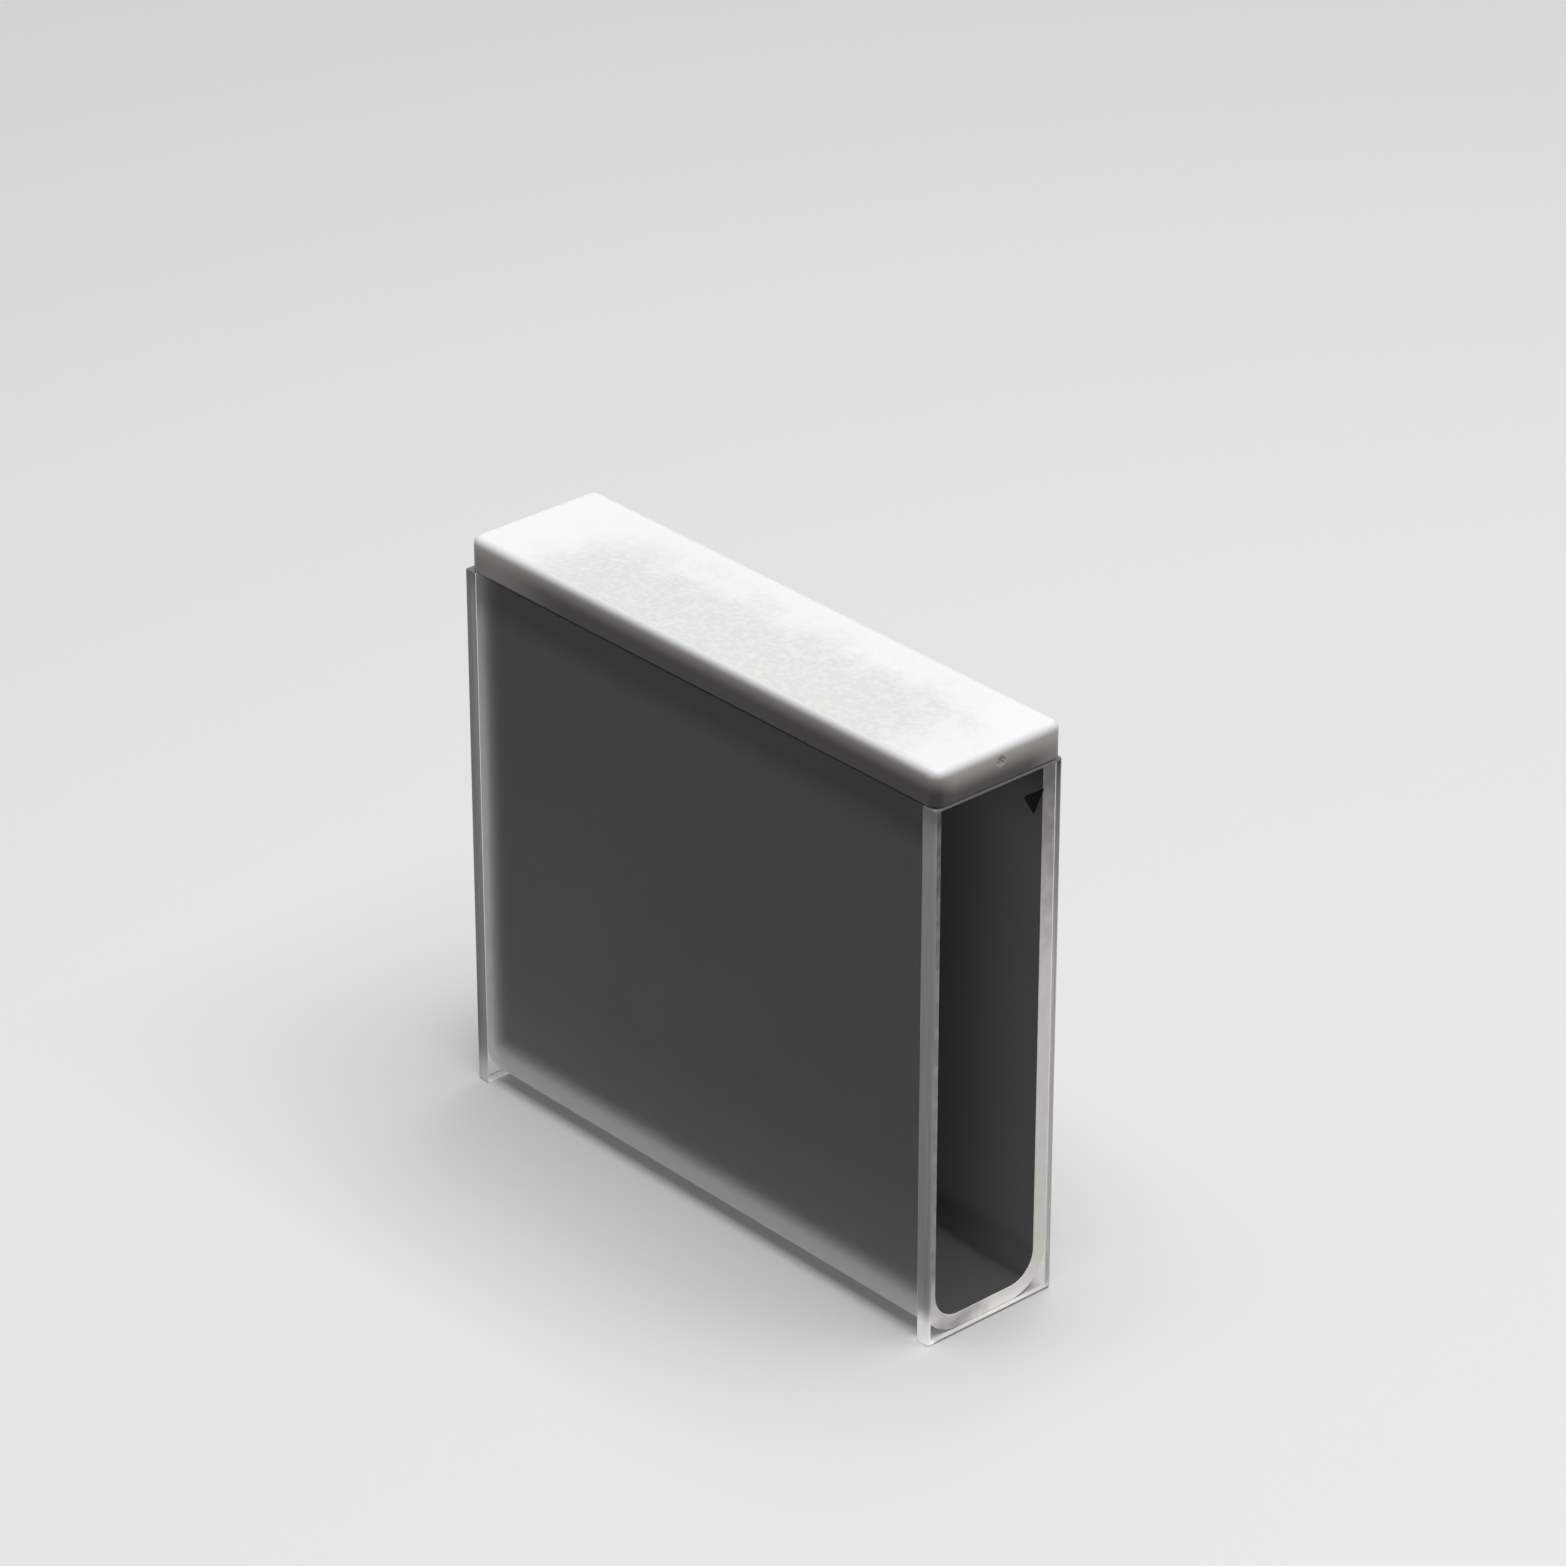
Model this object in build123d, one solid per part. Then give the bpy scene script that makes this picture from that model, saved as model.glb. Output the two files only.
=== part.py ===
from build123d import *
import os

# A 50 mm path measuring cell of fused quartz, with a loose lid. Millimetres.
# The origin is the middle of the base, +Z is up, and light runs along X.
# The trough is one ground U. A polished window is fused to each of its ends.
# The windows keep square bottom corners, past the trough's rounded ones.

# glass
path_length = 50.0          # clear distance between the two windows
cell_width = 12.5           # over the outside of the side walls
cell_height = 45.0          # base to rim
wall = 1.25                 # side walls and floor of the trough
bottom_radius = 3.6         # outside of the trough's two long bottom corners
rim_bevel = 0.15            # along the trough's mouth
window_thickness = 1.25
window_bevel = 0.2          # round the outer face of each window

# lid
lid_thickness = 3.0
lid_length_play = 0.6       # how much shorter the lid is than the glass
lid_width_play = 0.06       # how much narrower it is
lid_shift = 0.3             # pushed this far towards the front window
lid_corner_radius = 0.8     # its four upright corners
lid_top_round = 0.7
lid_bottom_round = 0.2
boss_depth = 1.5            # the raised block under the lid that drops into the mouth
boss_side_clearance = 0.25  # to each side wall
boss_end_clearance = 2.6    # to each window, with the lid in the middle
boss_corner_radius = 1.0
nick_radius = 0.6           # a knock in the front end, just under its rounded top edge
nick_drop = 1.2             # from the lid's top down to the middle of the nick
nick_out = 0.35             # from the lid's end out to the middle of the nick
nick_offset = 0.1           # from the middle of that end, towards +Y

mouth_width = cell_width - 2 * wall
cell_length = path_length + 2 * window_thickness
lid_length = cell_length - lid_length_play
lid_width = cell_width - lid_width_play
on_base = (Align.CENTER, Align.CENTER, Align.MIN)


def low_edges(block):
    """The two long edges along X at the bottom of a block."""
    return block.edges().filter_by(Axis.X).group_by(Axis.Z)[0]


def make_trough():
    """Two side walls and the floor, as one U with rounded bottom corners."""
    outside = Box(path_length, cell_width, cell_height, align=on_base)
    outside = fillet(low_edges(outside), bottom_radius)
    inside = Pos(0, 0, wall) * Box(path_length, mouth_width, cell_height, align=on_base)
    inside = fillet(low_edges(inside), bottom_radius - wall)
    body = outside - inside
    rim = body.edges().filter_by(Axis.X).group_by(Axis.Z)[-1]
    return chamfer(rim, rim_bevel)


def make_window(side):
    """A square-cornered plate fused to one end. side is 1 at +X and -1 at -X."""
    middle = side * (path_length + window_thickness) / 2
    plate = Pos(middle, 0, 0) * Box(window_thickness, cell_width, cell_height, align=on_base)
    outer_face = plate.faces().sort_by(Axis.X)[-1 if side > 0 else 0]
    return chamfer(outer_face.edges(), window_bevel)


def make_lid():
    """A slab that rests on the rim, with a shallow block below it in the mouth."""
    slab = Box(lid_length, lid_width, lid_thickness, align=on_base)
    slab = fillet(slab.edges().filter_by(Axis.Z), lid_corner_radius)
    slab = fillet(slab.faces().sort_by(Axis.Z)[-1].edges(), lid_top_round)
    slab = fillet(slab.faces().sort_by(Axis.Z)[0].edges(), lid_bottom_round)
    boss_length = path_length - 2 * boss_end_clearance
    boss_width = mouth_width - 2 * boss_side_clearance
    boss = Pos(0, 0, -boss_depth) * Box(
        boss_length, boss_width, boss_depth + lid_bottom_round, align=on_base
    )
    boss = fillet(boss.edges().filter_by(Axis.Z), boss_corner_radius)
    nick_middle = (lid_length / 2 + nick_out, nick_offset, lid_thickness - nick_drop)
    nick = Pos(*nick_middle) * Sphere(nick_radius)
    return Pos(lid_shift, 0, cell_height) * (slab + boss - nick)


pieces = {
    "trough": make_trough(),
    "front_window": make_window(1),
    "rear_window": make_window(-1),
    "lid": make_lid(),
}

os.makedirs("parts", exist_ok=True)
for name, piece in pieces.items():
    export_step(piece, f"parts/{name}.step")
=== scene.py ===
from math import radians

import bpy
import numpy as np
from bpy.props import FloatProperty, FloatVectorProperty, PointerProperty
from mathutils import Matrix, Vector


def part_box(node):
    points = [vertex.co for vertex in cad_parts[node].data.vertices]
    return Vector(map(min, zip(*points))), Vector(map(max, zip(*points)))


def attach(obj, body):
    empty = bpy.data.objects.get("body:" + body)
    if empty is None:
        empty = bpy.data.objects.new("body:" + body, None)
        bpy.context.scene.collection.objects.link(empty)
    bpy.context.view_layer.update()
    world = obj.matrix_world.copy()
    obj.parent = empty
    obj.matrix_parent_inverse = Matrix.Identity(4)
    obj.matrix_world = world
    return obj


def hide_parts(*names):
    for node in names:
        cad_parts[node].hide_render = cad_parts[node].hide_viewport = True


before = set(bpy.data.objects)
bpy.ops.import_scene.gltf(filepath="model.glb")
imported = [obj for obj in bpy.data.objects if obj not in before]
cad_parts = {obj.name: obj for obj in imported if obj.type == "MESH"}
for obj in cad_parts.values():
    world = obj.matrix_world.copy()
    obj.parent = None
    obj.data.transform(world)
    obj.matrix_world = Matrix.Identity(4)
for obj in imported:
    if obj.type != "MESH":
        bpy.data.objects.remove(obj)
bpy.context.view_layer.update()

bl_info = {
    "name": "Long path cell",
    "version": (1, 0, 0),
    "blender": (4, 5, 0),
    "location": "View3D > Sidebar > Cell",
    "description": "Builds a ground quartz measuring cell with clear ends and a loose white lid",
    "category": "Add Mesh",
}

MM = 0.001
TROUGH_LOW, TROUGH_HIGH = (np.array(corner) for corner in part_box("trough"))
WINDOW_LOW, WINDOW_HIGH = (np.array(corner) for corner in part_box("front_window"))
LID_LOW, LID_HIGH = (np.array(corner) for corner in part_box("lid"))
RIM = TROUGH_HIGH[2]
QUARTZ_IOR = 1.458
PLASTIC_IOR = 1.38
BLACK = (0.0, 0.0, 0.0)
# Colour of the painted glow on the inner faces of the walls.
PAINTED_GLOW_WHITE = (1.0, 1.0, 1.03)
SHARP_ABOVE = radians(32)
SENSOR_WIDTH = 36.0
FLOOR_RADIUS = 3.0
FLOOR_GAP = 0.05 * MM


def length(name, text, default):
    """A size in metres that the user may change."""
    return FloatProperty(
        name=name, description=text, default=default, min=0.0, unit="LENGTH", subtype="DISTANCE"
    )


def colour(name, text, default):
    """A colour, as linear red, green and blue."""
    return FloatVectorProperty(
        name=name, description=text, default=default, size=3, min=0.0, max=1.0, subtype="COLOR"
    )


class GlassSettings(bpy.types.PropertyGroup):
    """Sizes and colours of the fused quartz."""

    wall: length("Wall", "Thickness of the side walls and the floor", 1.25 * MM)
    bottom_radius: length("Bottom radius", "Outside of the long bottom corners", 3.6 * MM)
    rim_round: length("Rim round", "Rounding along the mouth", 0.15 * MM)
    window_bevel: length("Window bevel", "Round the outer face of a window", 0.2 * MM)
    window_corner: length("Window corner", "Rounding of a window's four corners", 0.12 * MM)
    print_room: length("Print room", "The front window's face lies this far back", 0.02 * MM)
    seam: length("Seam", "Air left between touching pieces, so that no faces coincide", 0.01 * MM)
    # Painted glow on the outer skin: how high and how far along it reaches.
    glow_height: length("Glow height", "How far up the pale veil reaches", 6.0 * MM)
    glow_length: length("Glow length", "How far along the veil reaches from the far end", 4.0 * MM)
    # Painted glow: emission strength of the glass edges and skins, standing in for light that runs
    # along inside the glass.
    painted_glow_strength: FloatProperty(
        name="Piped light", description="Light that comes out of the glass's edges", default=0.12
    )
    ground: colour("Ground skin", "The ground outer faces", (0.93, 0.93, 0.93))
    # Painted shade: the inner faces are near-black for the dark inside of the cell, a little
    # lighter near the floor as painted glow.
    inside: colour("Inside", "Inner faces of the walls, high up", (0.022, 0.022, 0.025))
    inside_low: colour("Inside low", "Inner faces near the floor", (0.04, 0.04, 0.042))
    # The trough's ends are pale so that they carry a painted glow.
    wall_end: colour("Wall end", "Ends of the trough, behind the windows", (0.92, 0.915, 0.905))
    edge: colour("Window edge", "Ground edges of the windows", (0.42, 0.42, 0.41))
    # Painted glow: the windows' feet and +Y edges go towards this pale tone.
    foot: colour("Foot", "The lowest corners of the windows", (0.95, 0.95, 0.94))
    clear: colour("Clear quartz", "Polished faces of the windows", (0.985, 0.98, 0.97))


class MarkSettings(bpy.types.PropertyGroup):
    """A plain printed triangle that shows which window faces the light."""

    side: length("Side", "Length of the triangle's sides", 2.1 * MM)
    corner: length("Corner", "Rounding of its corners", 0.12 * MM)
    ink: length("Ink", "Thickness of the print", 0.018 * MM)
    across: length("Across", "From the middle of the window, towards +Y", 3.45 * MM)
    down: length("Down", "From the window's top to the triangle's middle", 2.5 * MM)
    black: colour("Black", "The ink", (0.012, 0.012, 0.012))


class LidSettings(bpy.types.PropertyGroup):
    """Sizes and colours of the lid."""

    corner_radius: length("Corner radius", "The four upright corners", 0.8 * MM)
    top_round: length("Top round", "Rounding of the top edge", 0.7 * MM)
    bottom_round: length("Bottom round", "Rounding of the bottom edge", 0.2 * MM)
    boss_side: length("Boss side gap", "From the block under the lid to a side wall", 0.25 * MM)
    boss_end: length("Boss end gap", "From the block to a window, with the lid centred", 2.6 * MM)
    boss_corner: length("Boss corner", "Upright corners of the block", 1.0 * MM)
    nick_radius: length("Nick radius", "A knock in the front end", 0.6 * MM)
    nick_drop: length("Nick drop", "From the lid's top to the knock's middle", 1.2 * MM)
    nick_out: length("Nick out", "From the lid's end out to the knock's middle", 0.35 * MM)
    nick_offset: length("Nick offset", "From the middle of the end, towards +Y", 0.1 * MM)
    white: colour("White", "Smooth border of the lid", (0.88, 0.885, 0.89))
    patch: colour("Patch", "Worn middle of the top", (0.69, 0.71, 0.67))
    # Painted shade: the sides take a warmer tone than the top, going down to a dark tone low on the
    # sides.
    side: colour("Side", "High on the sides", (0.88, 0.83, 0.77))
    painted_shade_low: colour("Deep", "Low on the sides, close to the dark glass", (0.135, 0.127, 0.113))


class StageSettings(bpy.types.PropertyGroup):
    """Floor, lights and camera."""

    floor: colour("Floor", "The floor's colour", (0.80, 0.80, 0.80))
    bounce: colour("Bounce", "What the floor throws back on to the cell", (0.12, 0.12, 0.12))
    azimuth: FloatProperty(
        name="Azimuth", description="Turn of the camera round the cell",
        default=radians(48.244), unit="ROTATION", subtype="ANGLE",
    )
    elevation: FloatProperty(
        name="Elevation", description="Height of the camera above the horizon",
        default=radians(28.032), unit="ROTATION", subtype="ANGLE",
    )
    distance: length("Distance", "From the aim point to the camera", 487.442 * MM)
    aim_right: length("Aim right", "Sideways shift of the aim point", 2.057 * MM)
    aim_up: length("Aim up", "Upward shift of the aim point", 30.589 * MM)
    lens: FloatProperty(name="Lens", description="Focal length in millimetres", default=145.0)
    lamp_power: FloatProperty(
        name="Lamp", description="Power of the soft overhead lamp in watts", default=6.5,
        unit="POWER",
    )
    lamp_size: length("Lamp size", "Side of the square lamp", 0.7)
    lamp_place: FloatVectorProperty(
        name="Lamp place", description="Middle of the lamp", default=(0.12, 0.03, 0.75),
        unit="LENGTH",
    )
    fill: FloatProperty(name="Fill", description="Light from the even surroundings", default=0.12)
    backdrop: FloatProperty(
        name="Backdrop", description="How pale the surroundings look when seen", default=0.8
    )


class CellSettings(bpy.types.PropertyGroup):
    """All settings of the cell."""

    glass: PointerProperty(type=GlassSettings)
    mark: PointerProperty(type=MarkSettings)
    lid: PointerProperty(type=LidSettings)
    stage: PointerProperty(type=StageSettings)


# ---------------------------------------------------------------- surfaces


def arc(centre, radius, start, stop, steps):
    """The centre plus the radius times the cosine and sine of angles from start to stop degrees."""
    angle = np.radians(np.linspace(start, stop, steps + 1))
    return np.column_stack((np.cos(angle), np.sin(angle))) * radius + centre


def quarter_turn(steps):
    """Angles of a quarter circle, in radians."""
    return np.radians(np.linspace(0, 90, steps + 1))


def closed_grid(points):
    """Quads between neighbours of a rows by columns grid whose columns close on themselves,
    and one flat face over the first row and one over the last."""
    rows, columns = points.shape[:2]
    row, column = np.mgrid[0 : rows - 1, 0:columns]
    after = (column + 1) % columns
    corners = (
        row * columns + column,
        row * columns + after,
        (row + 1) * columns + after,
        (row + 1) * columns + column,
    )
    quads = np.stack(corners, axis=-1).reshape(-1, 4)
    first = np.arange(columns)[::-1]
    last = np.arange(columns) + (rows - 1) * columns
    return [*quads.tolist(), first.tolist(), last.tolist()]


def make_piece(name, points, finishes, finish_of_face):
    """A mesh piece from a closed grid of points, smooth but for its sharp edges.
    The two end faces stay dead flat, so that a window bends what is behind it as a plane does."""
    mesh = bpy.data.meshes.new(name)
    mesh.from_pydata(points.reshape(-1, 3), [], closed_grid(points))
    for finish in finishes:
        mesh.materials.append(finish)
    mesh.polygons.foreach_set("material_index", np.asarray(finish_of_face, dtype=np.int32))
    mesh.set_sharp_from_angle(angle=SHARP_ABOVE)
    smooth = np.ones(len(mesh.polygons), dtype=bool)
    smooth[-2:] = False
    mesh.polygons.foreach_set("use_smooth", smooth)
    mesh.validate()
    piece = bpy.data.objects.new(name, mesh)
    bpy.context.scene.collection.objects.link(piece)
    return piece


def stand_for(piece, node):
    """The piece hangs under the root and takes the place of a CAD node, whose part it hides."""
    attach(piece, "root")
    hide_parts(node)


def trough_points(glass):
    """A flat section carried along a U. A point is the U's middle line at the first parameter plus
    its outward normal times a height in the section, while the section's other size is X."""
    half_width, top, wall = TROUGH_HIGH[1], RIM - glass.seam, glass.wall
    radius = glass.bottom_radius
    reach = half_width - radius
    bend = 16
    left = arc((-reach, radius), radius - wall / 2, 180, 270, bend)
    right = arc((reach, radius), radius - wall / 2, 270, 360, bend)
    left_out = arc((0, 0), 1, 180, 270, bend)
    right_out = arc((0, 0), 1, 270, 360, bend)

    turn = quarter_turn(4)
    rim_shrink = glass.rim_round * (1 - np.cos(turn))
    rim_height = top - glass.rim_round * (1 - np.sin(turn))
    side = half_width - wall / 2
    left_rim = np.column_stack((np.full(len(turn), -side), rim_height[::-1]))
    right_rim = np.column_stack((np.full(len(turn), side), rim_height))
    spine = np.vstack((left_rim, left, right, right_rim))
    outward = np.vstack((
        np.tile((-1.0, 0.0), (len(turn), 1)), left_out,
        right_out, np.tile((1.0, 0.0), (len(turn), 1)),
    ))
    shrink = np.concatenate((rim_shrink[::-1], np.zeros(2 * (bend + 1)), rim_shrink))

    end = TROUGH_HIGH[0] - glass.seam
    soft = 0.04 * MM
    half = wall / 2
    x = np.array((-end + soft, end - soft, end, end, end - soft, -end + soft, -end, -end))
    height = np.array(
        (half, half, half - soft, -half + soft, -half, -half, -half + soft, half - soft)
    )
    height = np.sign(height) * (abs(height)[None, :] - shrink[:, None])
    points = np.empty((len(spine), len(x), 3))
    points[..., 0] = x
    points[..., 1:] = spine[:, None, :] + outward[:, None, :] * height[..., None]
    return points[::-1]


def rounded_rectangle(half_x, half_y, radius, side_x, side_y, corner):
    """Points round a rectangle with round corners: side_x and side_y give the places along each
    side, from -1 to 1, and corner is how many steps each quarter circle takes."""
    flat_x, flat_y = half_x - radius, half_y - radius
    along_x = np.column_stack((side_x * flat_x, np.full(len(side_x), -half_y)))
    along_y = np.column_stack((np.full(len(side_y), half_x), side_y * flat_y))
    quarter = [
        arc((flat_x * sx, flat_y * sy), radius, start, start + 90, corner)
        for sx, sy, start in ((1, -1, -90), (1, 1, 0), (-1, 1, 90), (-1, -1, 180))
    ]
    return np.vstack(
        (along_x, quarter[0], along_y, quarter[1], -along_x, quarter[2], -along_y, quarter[3])
    )


def window_points(glass, side):
    """A rounded rectangle carried through the plate's thickness. Its inset follows a quarter
    circle over the last bevel of the way to the outer face."""
    turn = quarter_turn(6)
    bevel = glass.window_bevel
    print_room = glass.print_room if side > 0 else 0.0
    inner, outer = WINDOW_LOW[0], WINDOW_HIGH[0] - print_room
    depth = np.concatenate(((inner,), outer - bevel * (1 - np.sin(turn))))
    inset = np.concatenate(((0.0,), bevel * (1 - np.cos(turn))))
    half_y = WINDOW_HIGH[1]
    half_z = (WINDOW_HIGH[2] - WINDOW_LOW[2] - glass.seam) / 2
    none = np.array(())
    rings = [
        rounded_rectangle(half_y - d, half_z - d, glass.window_corner, none, none, 4)
        for d in inset
    ]
    points = np.empty((len(rings), len(rings[0]), 3))
    points[..., 0] = side * depth[:, None]
    points[..., 1:] = np.stack(rings)
    points[..., 2] += half_z
    points[..., 1] *= side
    return points


def mark_points(mark):
    """A triangle that points down. Each corner is an arc of a third of a turn, and the outline is
    carried along X for the thickness of the ink."""
    middle = np.array((mark.across, WINDOW_HIGH[2] - mark.down))
    reach = mark.side / np.sqrt(3) - 2 * mark.corner
    turns = np.radians((-90, 30, 150))
    corners = middle + reach * np.column_stack((np.cos(turns), np.sin(turns)))
    sweep = turns[:, None] + np.radians(np.linspace(-60, 60, 7))
    round_off = mark.corner * np.stack((np.cos(sweep), np.sin(sweep)), axis=-1)
    outline = (corners[:, None] + round_off).reshape(-1, 2)
    points = np.empty((2, len(outline), 3))
    points[..., 1:] = outline
    points[..., 0] = WINDOW_HIGH[0] - np.array((mark.ink, 0.0))[:, None]
    return points


def lid_points(lid, glass):
    """Rounded rectangles stacked from the block's underside to the top. The inset of the top and
    bottom edges follows a quarter circle. The nick moves every point that is inside a lumpy ball
    out to its surface. The ball's radius varies as a product of two sines of the direction."""
    half_x = (LID_HIGH[0] - LID_LOW[0]) / 2
    half_y = (LID_HIGH[1] - LID_LOW[1]) / 2
    middle = (LID_HIGH[0] + LID_LOW[0]) / 2
    top, under = LID_HIGH[2], LID_LOW[2]
    boss_x = TROUGH_HIGH[0] - lid.boss_end
    boss_y = TROUGH_HIGH[1] - glass.wall - lid.boss_side
    turn = quarter_turn(12)
    small, big, radius = lid.bottom_round, lid.top_round, lid.corner_radius
    boss_soft = 0.15 * MM
    cap_inset = 3 * MM

    # half length, half width, corner radius, height
    rings = [
        (boss_x - cap_inset, boss_y - cap_inset, lid.boss_corner, under),
        (boss_x - boss_soft, boss_y - boss_soft, lid.boss_corner - boss_soft, under),
        (boss_x, boss_y, lid.boss_corner, under + boss_soft),
        (boss_x, boss_y, lid.boss_corner, RIM),
    ]
    for a in turn[::4]:
        inset, height = small * (1 - np.sin(a)), RIM + small * (1 - np.cos(a))
        rings.append((half_x - inset, half_y - inset, radius - inset, height))
    for height in np.linspace(RIM + small, top - big, 26)[1:-1]:
        rings.append((half_x, half_y, radius, height))
    for a in turn:
        inset, height = big * (1 - np.cos(a)), top - big * (1 - np.sin(a))
        rings.append((half_x - inset, half_y - inset, radius - inset, height))
    for inset in big + np.linspace(0.06, 0.8, 13) * MM:
        rings.append((half_x - inset, half_y - inset, radius - big, top))
    rings.append((half_x - cap_inset, half_y - cap_inset, radius - big, top))

    side_x = np.linspace(-1, 1, 40)
    by_the_nick = np.linspace(-0.12, 0.15, 44)
    side_y = np.sort(np.concatenate((np.linspace(-1, 1, 16), by_the_nick)))
    outline = [rounded_rectangle(*ring[:3], side_x, side_y, 10) for ring in rings]
    points = np.empty((len(rings), len(outline[0]), 3))
    points[..., :2] = np.stack(outline)
    points[..., 0] += middle
    points[..., 2] = np.array([ring[3] for ring in rings])[:, None]

    centre = np.array((LID_HIGH[0] + lid.nick_out, lid.nick_offset, top - lid.nick_drop))
    away = points - centre
    distance = np.linalg.norm(away, axis=-1, keepdims=True)
    aim = away / np.maximum(distance, 1e-9)
    lumps = np.sin(9 * aim[..., 1:2] + 0.6) * np.sin(8 * aim[..., 2:3] + 1.9)
    reach = lid.nick_radius * (0.92 + 0.13 * lumps)
    return np.where(distance < reach, centre + aim * reach, points)


# ---------------------------------------------------------------- finishes


def new_finish(name):
    """A material with nodes, and its tree and main shader."""
    finish = bpy.data.materials.new(name)
    finish.use_nodes = True
    tree = finish.node_tree
    return finish, tree, tree.nodes["Principled BSDF"]


def fill_in(tree, node, inputs):
    """Sets a node's inputs to values, or links them to sockets."""
    for key, value in inputs.items():
        if isinstance(value, bpy.types.NodeSocket):
            tree.links.new(value, node.inputs[key])
        else:
            node.inputs[key].default_value = value


def add(tree, kind, inputs=None, **settings):
    """A node of a kind, with its settings and its inputs."""
    node = tree.nodes.new(kind)
    for key, value in settings.items():
        setattr(node, key, value)
    fill_in(tree, node, inputs or {})
    return node


def place(tree):
    """The point on the piece, and its X, Y and Z."""
    point = add(tree, "ShaderNodeTexCoord").outputs["Object"]
    parts = add(tree, "ShaderNodeSeparateXYZ", {"Vector": point})
    return point, parts.outputs["X"], parts.outputs["Y"], parts.outputs["Z"]


def fade(tree, value, start, stop, low=0.0, high=1.0):
    """Goes smoothly from low at start to high at stop."""
    node = add(
        tree, "ShaderNodeMapRange",
        {"Value": value, "From Min": start, "From Max": stop, "To Min": low, "To Max": high},
        interpolation_type="SMOOTHSTEP",
    )
    return node.outputs["Result"]


def combine(tree, operation, first, *others):
    """Values put together one after another by Math nodes."""
    for other in others:
        node = add(tree, "ShaderNodeMath", {0: first, 1: other}, operation=operation)
        first = node.outputs[0]
    return first


def blend(tree, factor, a, b):
    """A colour between a and b, each a colour or a socket."""
    node = add(tree, "ShaderNodeMix", data_type="RGBA")
    sockets = {socket.identifier: socket for socket in (*node.inputs, *node.outputs)}
    tree.links.new(factor, sockets["Factor_Float"])
    for key, value in (("A_Color", a), ("B_Color", b)):
        if isinstance(value, bpy.types.NodeSocket):
            tree.links.new(value, sockets[key])
        else:
            sockets[key].default_value = (*value, 1.0)
    return sockets["Result_Color"]


def grain(tree, point, size, detail=2.0, stretch=(1, 1, 1)):
    """Noise with features about size metres across, shorter along an axis with more stretch."""
    scale = tuple(s / size for s in stretch)
    mapped = add(tree, "ShaderNodeMapping", {"Vector": point, "Scale": scale}).outputs["Vector"]
    return add(
        tree, "ShaderNodeTexNoise", {"Vector": mapped, "Scale": 1.0, "Detail": detail}
    ).outputs["Fac"]


def spread(tree, noise, low=0.0, high=1.0):
    """Noise stretched so that the range it mostly keeps to runs from low to high."""
    return fade(tree, noise, 0.3, 0.7, low, high)


def roughen(tree, shader, height, strength, depth):
    """Bump on a shader."""
    bump = add(tree, "ShaderNodeBump", {"Height": height, "Strength": strength, "Distance": depth})
    tree.links.new(bump.outputs["Normal"], shader.inputs["Normal"])


def ground_skin(glass):
    """The ground outer skin: clear quartz with a fine rough face. A pale painted glow grows towards
    the bottom and the far end, standing in for light that runs along inside the glass, and painted
    shade darkens the skin just under the lid."""
    finish, tree, shader = new_finish("ground_skin")
    point, x, y, z = place(tree)
    far_end = TROUGH_LOW[0]
    # Painted glow: pale low down and at the far end, with a faint haze towards the bottom, plus
    # random patches.
    low = combine(tree, "POWER", fade(tree, z, glass.glow_height, 2 * MM), 1.3)
    painted_glow_low = fade(tree, z, 14 * MM, 4 * MM, 0.0, 0.1)
    far = fade(tree, x, far_end + glass.glow_length, far_end - 0.6 * MM)
    far = combine(tree, "POWER", far, 2.0)
    far = combine(tree, "MULTIPLY", far, fade(tree, z, RIM, 20 * MM, 0.6, 0.85))
    painted_glow_veil = combine(tree, "ADD", combine(tree, "MAXIMUM", low, far), painted_glow_low)
    patchy_painted_glow = combine(tree, "ADD", painted_glow_veil, spread(tree, grain(tree, point, 7 * MM), -0.02, 0.02))
    fine = grain(tree, point, 0.1 * MM, 3.0)
    # Painted shade: darker base colour just under the lid, where the painted glow also fades.
    under_lid = fade(tree, z, RIM - 4.5 * MM, RIM - 1.5 * MM)
    painted_shade_tone = tuple(c * 0.25 for c in glass.ground)
    glow = combine(tree, "ADD", painted_glow_veil, fade(tree, under_lid, 0.0, 1.0, 0.02, 0.0))
    # Transmission and emission carry the painted glow; the base colour carries the painted shade.
    fill_in(tree, shader, {
        "Base Color": blend(tree, under_lid, tuple(glass.ground), painted_shade_tone),
        "Roughness": spread(tree, fine, 0.55, 0.68),
        "IOR": QUARTZ_IOR,
        "Specular IOR Level": 0.2,
        "Transmission Weight": fade(tree, patchy_painted_glow, 0.0, 1.0, 1.0, 0.3),
        "Emission Color": blend(tree, glow, BLACK, tuple(glass.ground)),
        "Emission Strength": glass.painted_glow_strength,
    })
    roughen(tree, shader, fine, 0.2, 0.01 * MM)
    return finish


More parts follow.
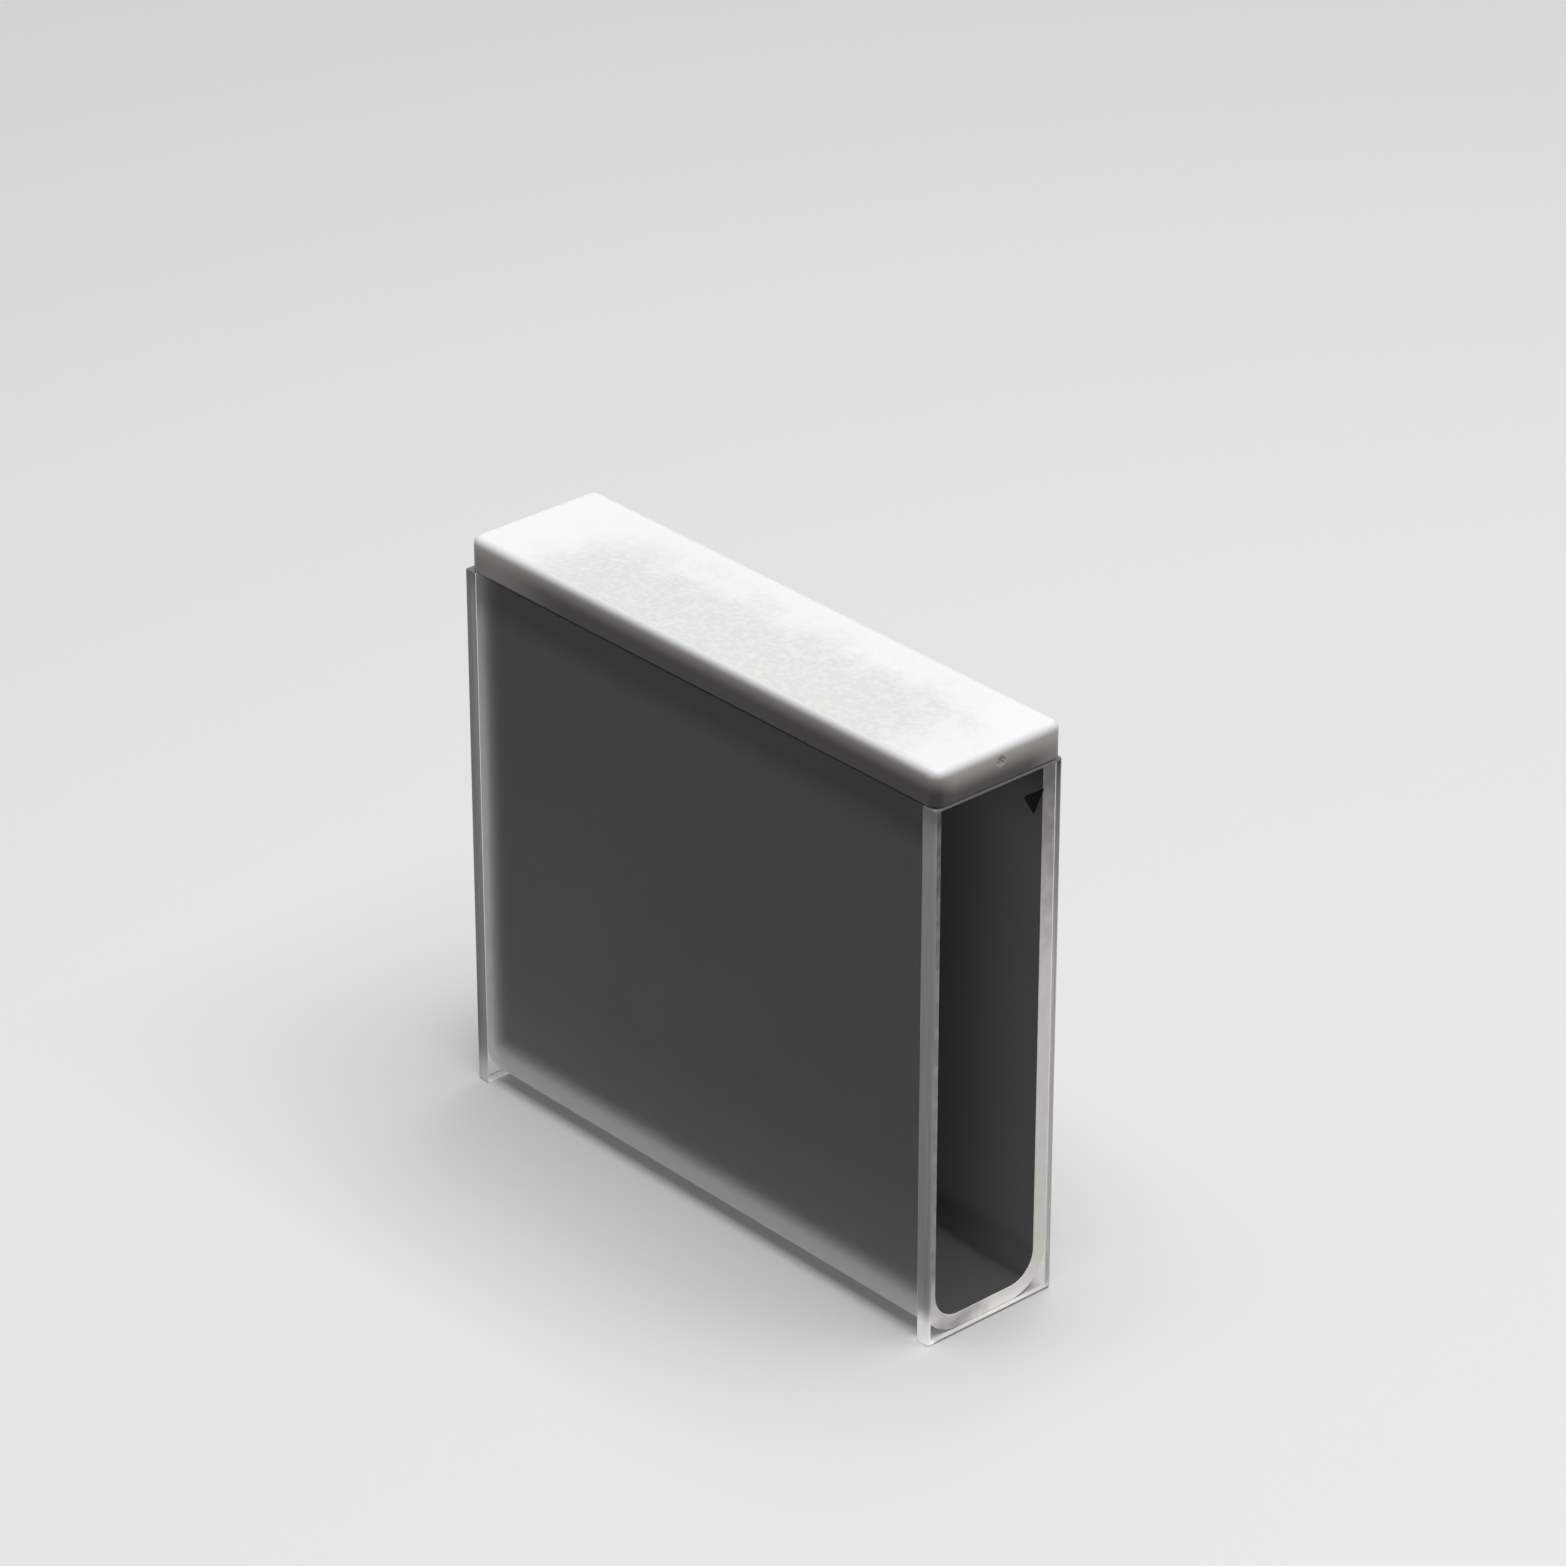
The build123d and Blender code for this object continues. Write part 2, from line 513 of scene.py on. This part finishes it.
def inner_skin(glass):
    """The near-black inner face of the walls and floor, painted shade for the dark inside of the
    cell, lighter towards the floor as painted glow. A painted glow stands in for light spreading
    inside the
    glass: more in the floor and in the +Y wall by the front window, and less where painted shade
    weakens it, in the -Y wall, in the rounded corners and under the lid."""
    finish, tree, shader = new_finish("inner_skin")
    point, x, y, z = place(tree)
    floor = glass.wall
    # Base colour: near-black painted shade, lighter towards the floor as painted glow, with random
    # clouds.
    cloud = spread(tree, grain(tree, point, 8 * MM), -0.12, 0.12)
    low = combine(tree, "ADD", fade(tree, z, 34 * MM, 2 * MM), cloud)
    # Painted glow by the front window on the +Y wall and in the floor.
    beside = combine(
        tree, "MULTIPLY", fade(tree, x, 14 * MM, 25 * MM), fade(tree, y, 3 * MM, 5 * MM),
        fade(tree, z, RIM, RIM - 8 * MM, 0.3, 1.0),
    )
    bottom = combine(
        tree, "MULTIPLY", fade(tree, z, floor + 0.6 * MM, floor + 0.05 * MM),
        fade(tree, x, 12 * MM, 25 * MM, 0.75, 1.3),
    )
    lighter = combine(tree, "MULTIPLY", combine(tree, "MAXIMUM", beside, bottom), 0.22)
    # Painted shade weakens the glow in the -Y wall, in the rounded corners and under the lid.
    darker = combine(
        tree, "MAXIMUM", fade(tree, y, -4 * MM, -4.9 * MM),
        fade(tree, z, floor + 4 * MM, floor + 1.8 * MM, 0.0, 0.7),
        fade(tree, z, RIM - 4 * MM, RIM - 1 * MM, 0.0, 0.6),
    )
    glow = combine(tree, "ADD", fade(tree, darker, 0.0, 1.0, 0.13, 0.05), lighter)
    fill_in(tree, shader, {
        "Base Color": blend(tree, low, tuple(glass.inside), tuple(glass.inside_low)),
        "Roughness": spread(tree, grain(tree, point, 0.3 * MM, 3.0), 0.4, 0.5),
        "IOR": QUARTZ_IOR,
        "Specular IOR Level": 0.04,
        "Emission Color": blend(tree, glow, BLACK, PAINTED_GLOW_WHITE),
        "Emission Strength": glass.painted_glow_strength,
    })
    return finish


def wall_end_finish(glass):
    """The trough's end, pale with a painted glow that stands in for light running along inside the
    wall, strongest low down and darker by the rim as painted shade. The wall on the +Y side carries
    more of it."""
    finish, tree, shader = new_finish("wall_end")
    point, x, y, z = place(tree)
    # Painted glow: stronger downwards and towards +Y, with a band at the foot.
    painted_glow_rise = combine(
        tree, "MULTIPLY", fade(tree, z, 46 * MM, 24 * MM, 0.25, 1.0),
        fade(tree, y, -4 * MM, 2 * MM, 0.3, 1.0),
    )
    foot = combine(
        tree, "MULTIPLY", fade(tree, z, 7 * MM, 3 * MM),
        fade(tree, z, 0.4 * MM, 1.6 * MM, 0.4, 0.75),
    )
    cloud = spread(tree, grain(tree, point, 1.2 * MM, 3.0), -0.08, 0.08)
    painted_glow_amount = combine(tree, "ADD", combine(tree, "MAXIMUM", painted_glow_rise, foot), cloud)
    # Painted shade: the darker tone where the glow is weak, high up by the rim.
    painted_shade_tone = tuple(c * 0.15 for c in glass.wall_end)
    tone = blend(tree, painted_glow_amount, painted_shade_tone, tuple(glass.wall_end))
    fill_in(tree, shader, {
        "Base Color": tone,
        "Roughness": 0.5,
        "IOR": QUARTZ_IOR,
        "Emission Color": tone,
        "Emission Strength": 2 * glass.painted_glow_strength,
    })
    return finish


def window_edge_finish(glass):
    """Ground edges of a window, with faint streaks along the grinding, a painted glow in the feet
    and up the +Y edges, and a painted glint at the -Y foot. Painted shade makes the rear window's
    edges dimmer and its outer arris the darkest, and darkens both windows near the rim."""
    finish, tree, shader = new_finish("window_edge")
    point, x, y, z = place(tree)
    streak = grain(tree, point, 0.3 * MM, 3.0, (3, 1, 0.03))
    # Painted glow in the feet, weaker on the rear window, and up the +Y edges; the streaks are the
    # grinding.
    front = fade(tree, x, 0.0, 1 * MM, 0.45, 1.0)
    foot = combine(tree, "POWER", fade(tree, z, 7 * MM, 0.0), 1.5)
    foot = combine(tree, "MULTIPLY", foot, front)
    side = combine(
        tree, "MULTIPLY", fade(tree, y, 4 * MM, 6 * MM, 0.0, 0.7),
        fade(tree, z, 46 * MM, 24 * MM, 0.2, 1.0),
    )
    bright = combine(tree, "MAXIMUM", foot, side)
    bright = combine(tree, "ADD", bright, spread(tree, streak, 0.0, 0.25))
    # Painted shade: no glow near the rim.
    bright = combine(tree, "MULTIPLY", bright, fade(tree, z, RIM, RIM - 2 * MM))
    # Painted shade: the rear window's outer arris, and both windows near the rim, take the darker
    # rear tone.
    inwards = combine(
        tree, "MULTIPLY", fade(tree, x, -26.2 * MM, -25 * MM),
        fade(tree, z, RIM, RIM - 4 * MM, 0.1, 1.0),
    )
    rear = tuple(c * 0.5 for c in glass.edge)
    tone = blend(tree, bright, blend(tree, inwards, rear, tuple(glass.edge)), tuple(glass.foot))
    # Painted glint at the -Y foot, brightest on the front window, over a faint painted glow on
    # every edge.
    painted_glint = combine(
        tree, "MULTIPLY", fade(tree, z, 4 * MM, 1 * MM), fade(tree, y, -5 * MM, -6.1 * MM), front
    )
    lit = fade(tree, painted_glint, 0.0, 1.0, 0.12, 1.1)
    fill_in(tree, shader, {
        "Base Color": tone,
        "Roughness": 0.4,
        "IOR": QUARTZ_IOR,
        "Transmission Weight": 0.15,
        "Emission Color": blend(tree, lit, BLACK, tone),
        "Emission Strength": 4 * glass.painted_glow_strength,
    })
    roughen(tree, shader, streak, 0.2, 0.02 * MM)
    return finish


def clear_quartz(glass):
    """Polished quartz that bends what is behind it, mirrors nothing, and lets lamps in."""
    finish, tree, shader = new_finish("clear_quartz")
    tree.nodes.remove(shader)
    clear = (*glass.clear, 1.0)
    bends = add(
        tree, "ShaderNodeBsdfRefraction", {"Color": clear, "Roughness": 0.0, "IOR": QUARTZ_IOR}
    )
    through = add(tree, "ShaderNodeBsdfTransparent", {"Color": clear})
    path = add(tree, "ShaderNodeLightPath").outputs
    unbent = combine(tree, "MAXIMUM", path["Is Shadow Ray"], path["Is Diffuse Ray"])
    either = add(
        tree, "ShaderNodeMixShader", {0: unbent, 1: bends.outputs[0], 2: through.outputs[0]}
    )
    fill_in(tree, tree.nodes["Material Output"], {"Surface": either.outputs[0]})
    return finish


def black_ink(mark):
    """Matt print, a little uneven."""
    finish, tree, shader = new_finish("black_ink")
    point = place(tree)[0]
    wear = spread(tree, grain(tree, point, 0.25 * MM, 3.0))
    worn = tuple(c * 2.5 for c in mark.black)
    fill_in(tree, shader, {
        "Base Color": blend(tree, wear, tuple(mark.black), worn),
        "Roughness": fade(tree, wear, 0.0, 1.0, 0.45, 0.65),
        "Specular IOR Level": 0.0,
    })
    return finish


def white_lid(lid):
    """Satin white plastic that light soaks into. The middle of the top is worn and mottled. Painted
    shade makes the sides warmer and darker downwards, most of all on the -Y side and least at the
    far end and at +Y."""
    finish, tree, shader = new_finish("white_lid")
    point, x, y, z = place(tree)
    half_x = (LID_HIGH[0] - LID_LOW[0]) / 2
    half_y = (LID_HIGH[1] - LID_LOW[1]) / 2
    top = LID_HIGH[2]
    wobble = spread(tree, grain(tree, point, 2.5 * MM, 4.0), -1.2 * MM, 1.2 * MM)
    along, across = combine(tree, "ADD", x, wobble), combine(tree, "ADD", y, wobble)
    fine = grain(tree, point, 0.45 * MM, 5.0)
    worn = combine(
        tree, "MULTIPLY", fade(tree, along, 4 * MM - half_x, 12 * MM - half_x),
        fade(tree, along, half_x - 1 * MM, half_x - 9 * MM, 0.2, 1.0),
        fade(tree, across, half_y - 1.5 * MM, -1.5 * MM, 0.2, 1.0),
        fade(tree, z, top - 0.1 * MM, top - 0.02 * MM), spread(tree, fine, 0.65, 1.2),
    )
    tone = blend(tree, worn, tuple(lid.white), tuple(lid.patch))
    # Painted shade: below the top rounding the sides take the warmer side tone.
    tone = blend(tree, fade(tree, z, top - 0.3 * MM, top - 1 * MM), tone, tuple(lid.side))

    # Painted shade: darker down the sides, starting higher on the -Y side, weaker at the far end
    # and at +Y.
    shaded = fade(tree, y, 2 * MM - half_y, 0.3 * MM - half_y)
    lowered = combine(tree, "ADD", z, combine(tree, "MULTIPLY", shaded, -0.6 * MM))
    pale_end = combine(
        tree, "MAXIMUM", fade(tree, x, -13 * MM, -25 * MM), fade(tree, y, 2 * MM, 6 * MM)
    )
    down = combine(
        tree, "MULTIPLY", fade(tree, lowered, top - 0.5 * MM, RIM + 0.4 * MM),
        fade(tree, pale_end, 0.0, 1.0, 1.0, 0.55),
    )
    foot = blend(tree, shaded, tuple(lid.painted_shade_low), tuple(c * 0.6 for c in lid.painted_shade_low))
    fill_in(tree, shader, {
        "Base Color": blend(tree, down, tone, foot),
        "Roughness": fade(tree, worn, 0.0, 1.0, 0.38, 0.6),
        "IOR": PLASTIC_IOR,
        "Subsurface Weight": 0.3,
        "Subsurface Radius": (1.0, 0.95, 0.9),
        "Subsurface Scale": 0.8 * MM,
    })
    roughen(tree, shader, fine, 0.3, 0.03 * MM)
    return finish


# ---------------------------------------------------------------- stage


def seen_directly(tree):
    """1 for a ray from the camera, or one that glass or gloss has passed on."""
    path = add(tree, "ShaderNodeLightPath").outputs
    seen = combine(
        tree, "ADD", path["Is Camera Ray"], path["Is Glossy Ray"], path["Is Transmission Ray"]
    )
    return combine(tree, "MINIMUM", seen, 1.0)


def lay_floor(stage):
    """A wide disc just below the base. It looks pale, but throws little back on to the cell."""
    ring = arc((0, 0), FLOOR_RADIUS, 0, 360, 96)[:-1]
    points = np.column_stack((ring, np.full(len(ring), -FLOOR_GAP)))
    mesh = bpy.data.meshes.new("floor")
    mesh.from_pydata(points, [], [list(range(len(ring)))])
    finish, tree, shader = new_finish("floor")
    fill_in(tree, shader, {
        "Base Color": blend(tree, seen_directly(tree), tuple(stage.bounce), tuple(stage.floor)),
        "Roughness": 0.7,
        "Specular IOR Level": 0.2,
    })
    mesh.materials.append(finish)
    floor = bpy.data.objects.new("floor", mesh)
    bpy.context.scene.collection.objects.link(floor)


def light_world(scene, stage):
    """Even surroundings: pale to look at, dimmer as light."""
    world = bpy.data.worlds.new("surroundings")
    world.use_nodes = True
    tree = world.node_tree
    strength = add(
        tree, "ShaderNodeMapRange",
        {"Value": seen_directly(tree), "To Min": stage.fill, "To Max": stage.backdrop},
    )
    fill_in(tree, tree.nodes["Background"], {
        "Color": (1.0, 1.0, 1.0, 1.0), "Strength": strength.outputs["Result"],
    })
    scene.world = world


def hang_lamp(scene, stage):
    """One large soft square overhead."""
    lamp = bpy.data.lights.new("overhead", "AREA")
    lamp.shape = "SQUARE"
    lamp.size = stage.lamp_size
    lamp.energy = stage.lamp_power
    hung = bpy.data.objects.new("overhead", lamp)
    hung.location = stage.lamp_place
    scene.collection.objects.link(hung)


def set_camera(scene, stage):
    """Looks at the cell from the set azimuth and elevation."""
    a, e = stage.azimuth, stage.elevation
    back = Vector((np.sin(a) * np.cos(e), -np.cos(a) * np.cos(e), np.sin(e)))
    right = Vector((np.cos(a), np.sin(a), 0.0))
    up = back.cross(right)
    lens = bpy.data.cameras.new("camera")
    lens.lens = stage.lens
    lens.sensor_width = SENSOR_WIDTH
    lens.clip_start = 10 * MM
    camera = bpy.data.objects.new("camera", lens)
    turn = Matrix((right, up, back)).transposed().to_4x4()
    spot = back * stage.distance + right * stage.aim_right + up * stage.aim_up
    camera.matrix_world = Matrix.Translation(spot) @ turn
    scene.collection.objects.link(camera)
    scene.camera = camera


# ---------------------------------------------------------------- operators


class CELL_OT_trough(bpy.types.Operator):
    """Builds the ground U-shaped trough"""

    bl_idname = "cell.trough"
    bl_label = "Trough"

    def execute(self, context):
        glass = context.scene.cell.glass
        points = trough_points(glass)
        finishes = (ground_skin(glass), wall_end_finish(glass), inner_skin(glass))
        skin, end, inside = range(3)
        section = (skin, end, end, end, inside, end, end, end)
        finish_of_face = np.concatenate((np.tile(section, len(points) - 1), (skin, skin)))
        piece = make_piece("trough_glass", points, finishes, finish_of_face)
        stand_for(piece, "trough")
        return {"FINISHED"}


class CELL_OT_windows(bpy.types.Operator):
    """Builds the two polished end windows"""

    bl_idname = "cell.windows"
    bl_label = "Windows"

    def execute(self, context):
        glass = context.scene.cell.glass
        finishes = (clear_quartz(glass), window_edge_finish(glass))
        for side, node in ((1, "front_window"), (-1, "rear_window")):
            points = window_points(glass, side)
            clear, edge = range(2)
            edges = np.full(points.shape[1] * (len(points) - 1), edge)
            finish_of_face = np.concatenate((edges, (clear, clear)))
            piece = make_piece(f"{node}_glass", points, finishes, finish_of_face)
            stand_for(piece, node)
        return {"FINISHED"}


class CELL_OT_mark(bpy.types.Operator):
    """Prints the plain triangle on the front window"""

    bl_idname = "cell.mark"
    bl_label = "Mark"

    def execute(self, context):
        mark = context.scene.cell.mark
        points = mark_points(mark)
        count = points.shape[1] + 2
        piece = make_piece("light_side_mark", points, (black_ink(mark),), np.zeros(count))
        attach(piece, "root")
        return {"FINISHED"}


class CELL_OT_lid(bpy.types.Operator):
    """Builds the loose white lid"""

    bl_idname = "cell.lid"
    bl_label = "Lid"

    def execute(self, context):
        cell = context.scene.cell
        points = lid_points(cell.lid, cell.glass)
        count = points.shape[1] * (len(points) - 1) + 2
        piece = make_piece("lid_slab", points, (white_lid(cell.lid),), np.zeros(count))
        stand_for(piece, "lid")
        return {"FINISHED"}


class CELL_OT_stage(bpy.types.Operator):
    """Lays the floor, hangs the lights and sets the camera"""

    bl_idname = "cell.stage"
    bl_label = "Stage"

    def execute(self, context):
        scene, stage = context.scene, context.scene.cell.stage
        lay_floor(stage)
        light_world(scene, stage)
        hang_lamp(scene, stage)
        set_camera(scene, stage)
        scene.view_settings.view_transform = "Standard"
        return {"FINISHED"}


class CELL_PT_panel(bpy.types.Panel):
    """Sidebar panel with the cell's settings and steps"""

    bl_label = "Long path cell"
    bl_idname = "CELL_PT_panel"
    bl_space_type = "VIEW_3D"
    bl_region_type = "UI"
    bl_category = "Cell"

    def draw(self, context):
        cell = context.scene.cell
        for group in (cell.glass, cell.mark, cell.lid, cell.stage):
            box = self.layout.box()
            for name in group.__annotations__:
                box.prop(group, name)
        for step in STEPS:
            self.layout.operator(step.bl_idname)


STEPS = (CELL_OT_trough, CELL_OT_windows, CELL_OT_mark, CELL_OT_lid, CELL_OT_stage)
GROUPS = (GlassSettings, MarkSettings, LidSettings, StageSettings, CellSettings)
CLASSES = (*GROUPS, *STEPS, CELL_PT_panel)


def register():
    for kind in CLASSES:
        bpy.utils.register_class(kind)
    bpy.types.Scene.cell = PointerProperty(type=CellSettings)


def unregister():
    del bpy.types.Scene.cell
    for kind in reversed(CLASSES):
        bpy.utils.unregister_class(kind)


def main():
    """Builds every piece and the stage."""
    register()
    bpy.ops.cell.stage()
    bpy.ops.cell.trough()
    bpy.ops.cell.windows()
    bpy.ops.cell.mark()
    bpy.ops.cell.lid()


if __name__ == "__main__":
    main()
